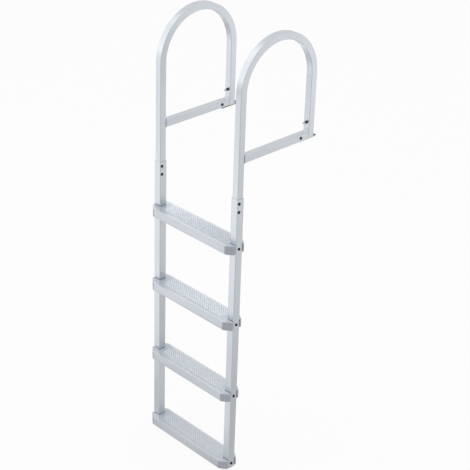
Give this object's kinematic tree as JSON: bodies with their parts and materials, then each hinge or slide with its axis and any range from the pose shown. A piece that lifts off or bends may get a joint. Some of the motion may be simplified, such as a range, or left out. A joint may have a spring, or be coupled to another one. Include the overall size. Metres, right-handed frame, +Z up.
{
  "type": "pontoon boat boarding ladder",
  "caption": "Boarding ladder of square aluminium tube with deep flat treads and two arched handrails that bolt to a pontoon deck.",
  "frame": {"origin": "on the underside of the left base plate, below the axis of the left rear leg", "axes": "+X across the ladder from the left side to the right side as the climber sees them, +Y from the climber over the deck, +Z up"},
  "size_m": [0.4288, 0.4104, 1.6714],
  "materials": {
    "bolt_steel": "satin",
    "cap_plastic": "matte",
    "plate_steel": "satin",
    "plug_plastic": "matte",
    "tread_aluminium": "satin",
    "tube_aluminium": "satin",
    "weld_aluminium": "bright"
  },
  "bodies": {
    "root": {"left_bar_flange": "plate_steel", "left_base_plate": "plate_steel", "left_corner_bolts": "bolt_steel", "left_corner_weld": "weld_aluminium", "left_deck_bar": "tube_aluminium", "left_handrail": "tube_aluminium", "left_rail": "tube_aluminium", "left_rail_plug": "plug_plastic", "left_sleeve_bolts": "bolt_steel", "left_tread_bolts": "bolt_steel", "right_bar_flange": "plate_steel", "right_base_plate": "plate_steel", "right_corner_bolts": "bolt_steel", "right_corner_weld": "weld_aluminium", "right_deck_bar": "tube_aluminium", "right_handrail": "tube_aluminium", "right_rail": "tube_aluminium", "right_rail_plug": "plug_plastic", "right_sleeve_bolts": "bolt_steel", "right_tread_bolts": "bolt_steel", "tread_1": "tread_aluminium", "tread_1_left_cap": "cap_plastic", "tread_1_right_cap": "cap_plastic", "tread_2": "tread_aluminium", "tread_2_left_cap": "cap_plastic", "tread_2_right_cap": "cap_plastic", "tread_3": "tread_aluminium", "tread_3_left_cap": "cap_plastic", "tread_3_right_cap": "cap_plastic", "tread_4": "tread_aluminium", "tread_4_left_cap": "cap_plastic", "tread_4_right_cap": "cap_plastic"}
  },
  "joints": []
}
